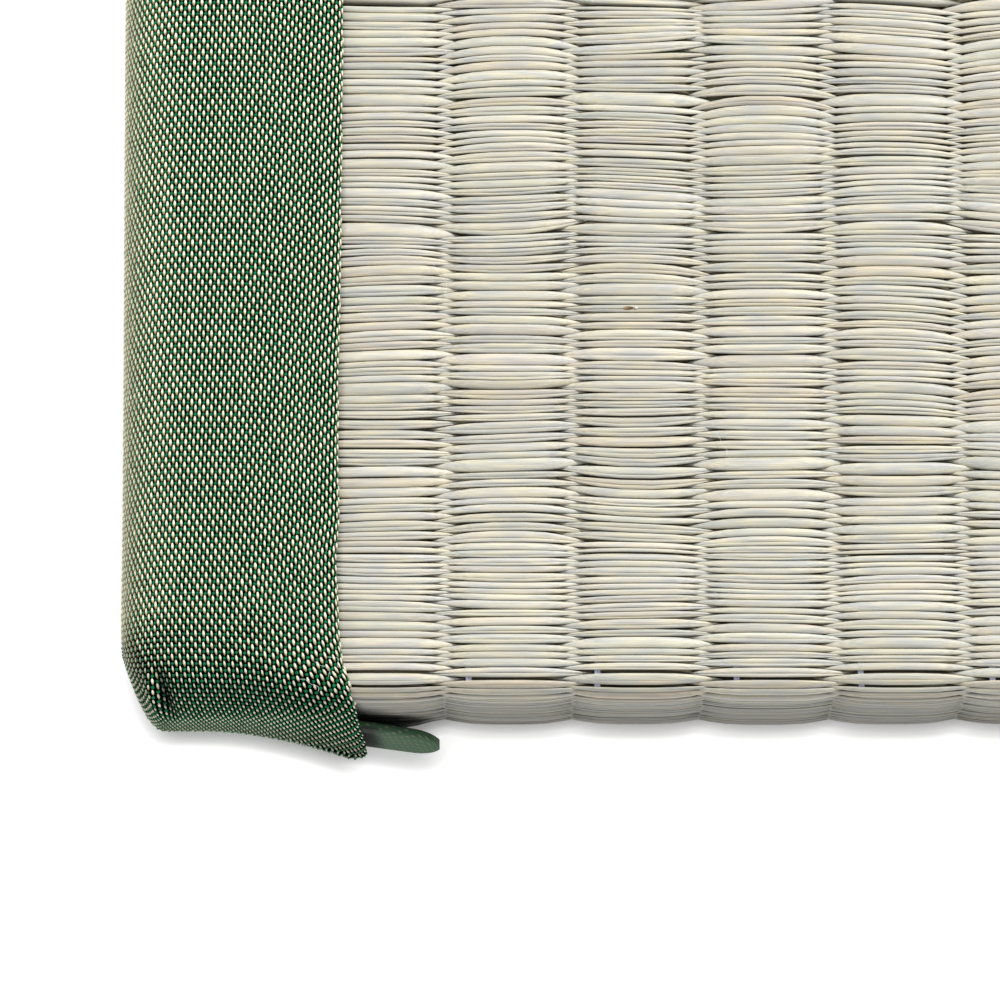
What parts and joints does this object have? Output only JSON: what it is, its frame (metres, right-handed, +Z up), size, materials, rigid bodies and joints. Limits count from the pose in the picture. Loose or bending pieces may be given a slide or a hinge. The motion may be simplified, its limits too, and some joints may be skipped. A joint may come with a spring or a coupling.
{
  "type": "tatami mat",
  "caption": "Flat square tatami mat: woven rush cover with raised ribs over a filled core, green cloth borders folded round two long sides and over the ends.",
  "frame": {"origin": "on the floor, under the middle of the whole mat", "axes": "+X across the borders along the rush, +Y along the borders away from the loosely folded corner's end, +Z up"},
  "size_m": [0.827, 0.824, 0.0208],
  "materials": {
    "rush": "dry woven rush, pale grey green, slightly glossy along each stem",
    "border_cloth": "matt green cloth woven with cream flecks"
  },
  "bodies": {
    "root": {"rush_cover": "rush", "border_left": "border_cloth", "border_right": "border_cloth"}
  },
  "joints": []
}
